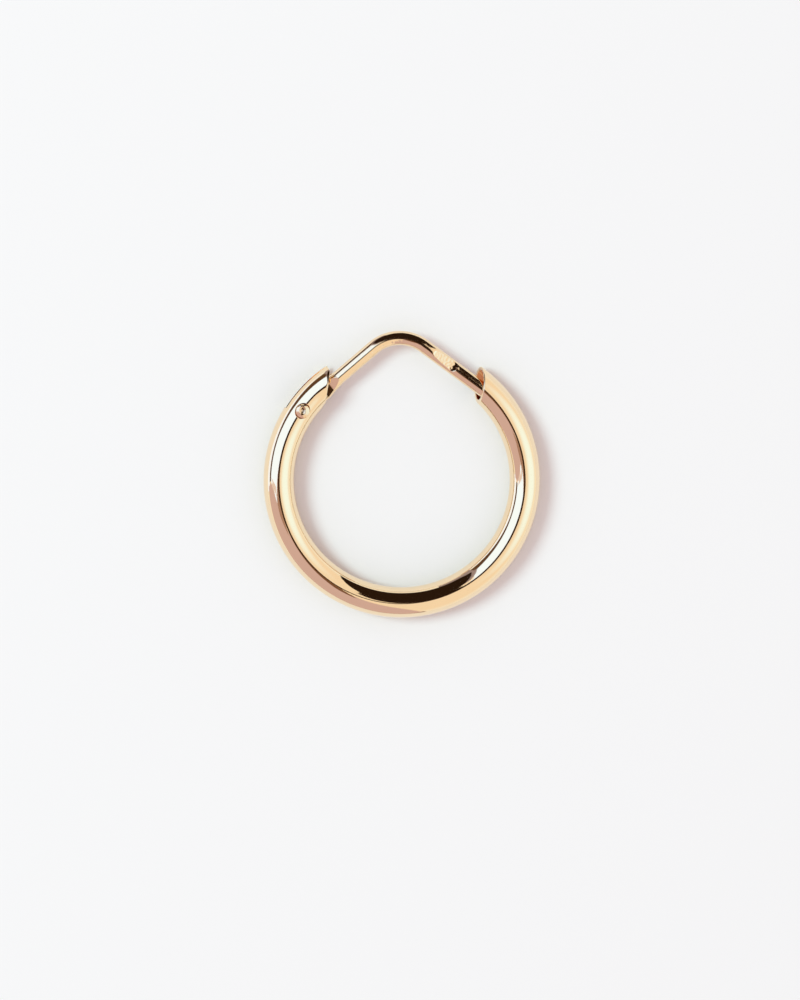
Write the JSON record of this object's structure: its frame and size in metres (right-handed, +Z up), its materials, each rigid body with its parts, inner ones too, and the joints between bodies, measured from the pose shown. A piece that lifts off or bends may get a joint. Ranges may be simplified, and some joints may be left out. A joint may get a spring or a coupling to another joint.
{
  "type": "hoop earring",
  "caption": "Hinged hoop earring: a round hollow tube hoop closed by a peaked ear wire that turns on a rivet and slips into the tube's open end.",
  "frame": {"origin": "middle of the earring's own box, on the surface that it lies on", "axes": "+Z up, along the hoop's axis; +Y from the hoop's middle to the ear wire's peak; the hinge is at -X and the open mouth at +X"},
  "size_m": [0.018, 0.0188, 0.0021],
  "materials": {
    "polished_gold_tube": "mirror polished pale rose gold plating",
    "polished_gold_wire": "drawn wire, mirror polished pale rose gold plating",
    "polished_gold_rivet": "hand-domed rivet head, polished"
  },
  "bodies": {
    "hoop": {"hoop_tube": "polished_gold_tube", "hinge_pin": "polished_gold_rivet"},
    "wire": {"ear_wire": "polished_gold_wire"}
  },
  "joints": [
    {"name": "wire_hinge", "type": "hinge", "parent": "hoop", "child": "wire", "pos_m": [-0.00645, 0.00426, 0.001], "axis": [0, 0, 1], "range_deg": [0, 90]}
  ]
}
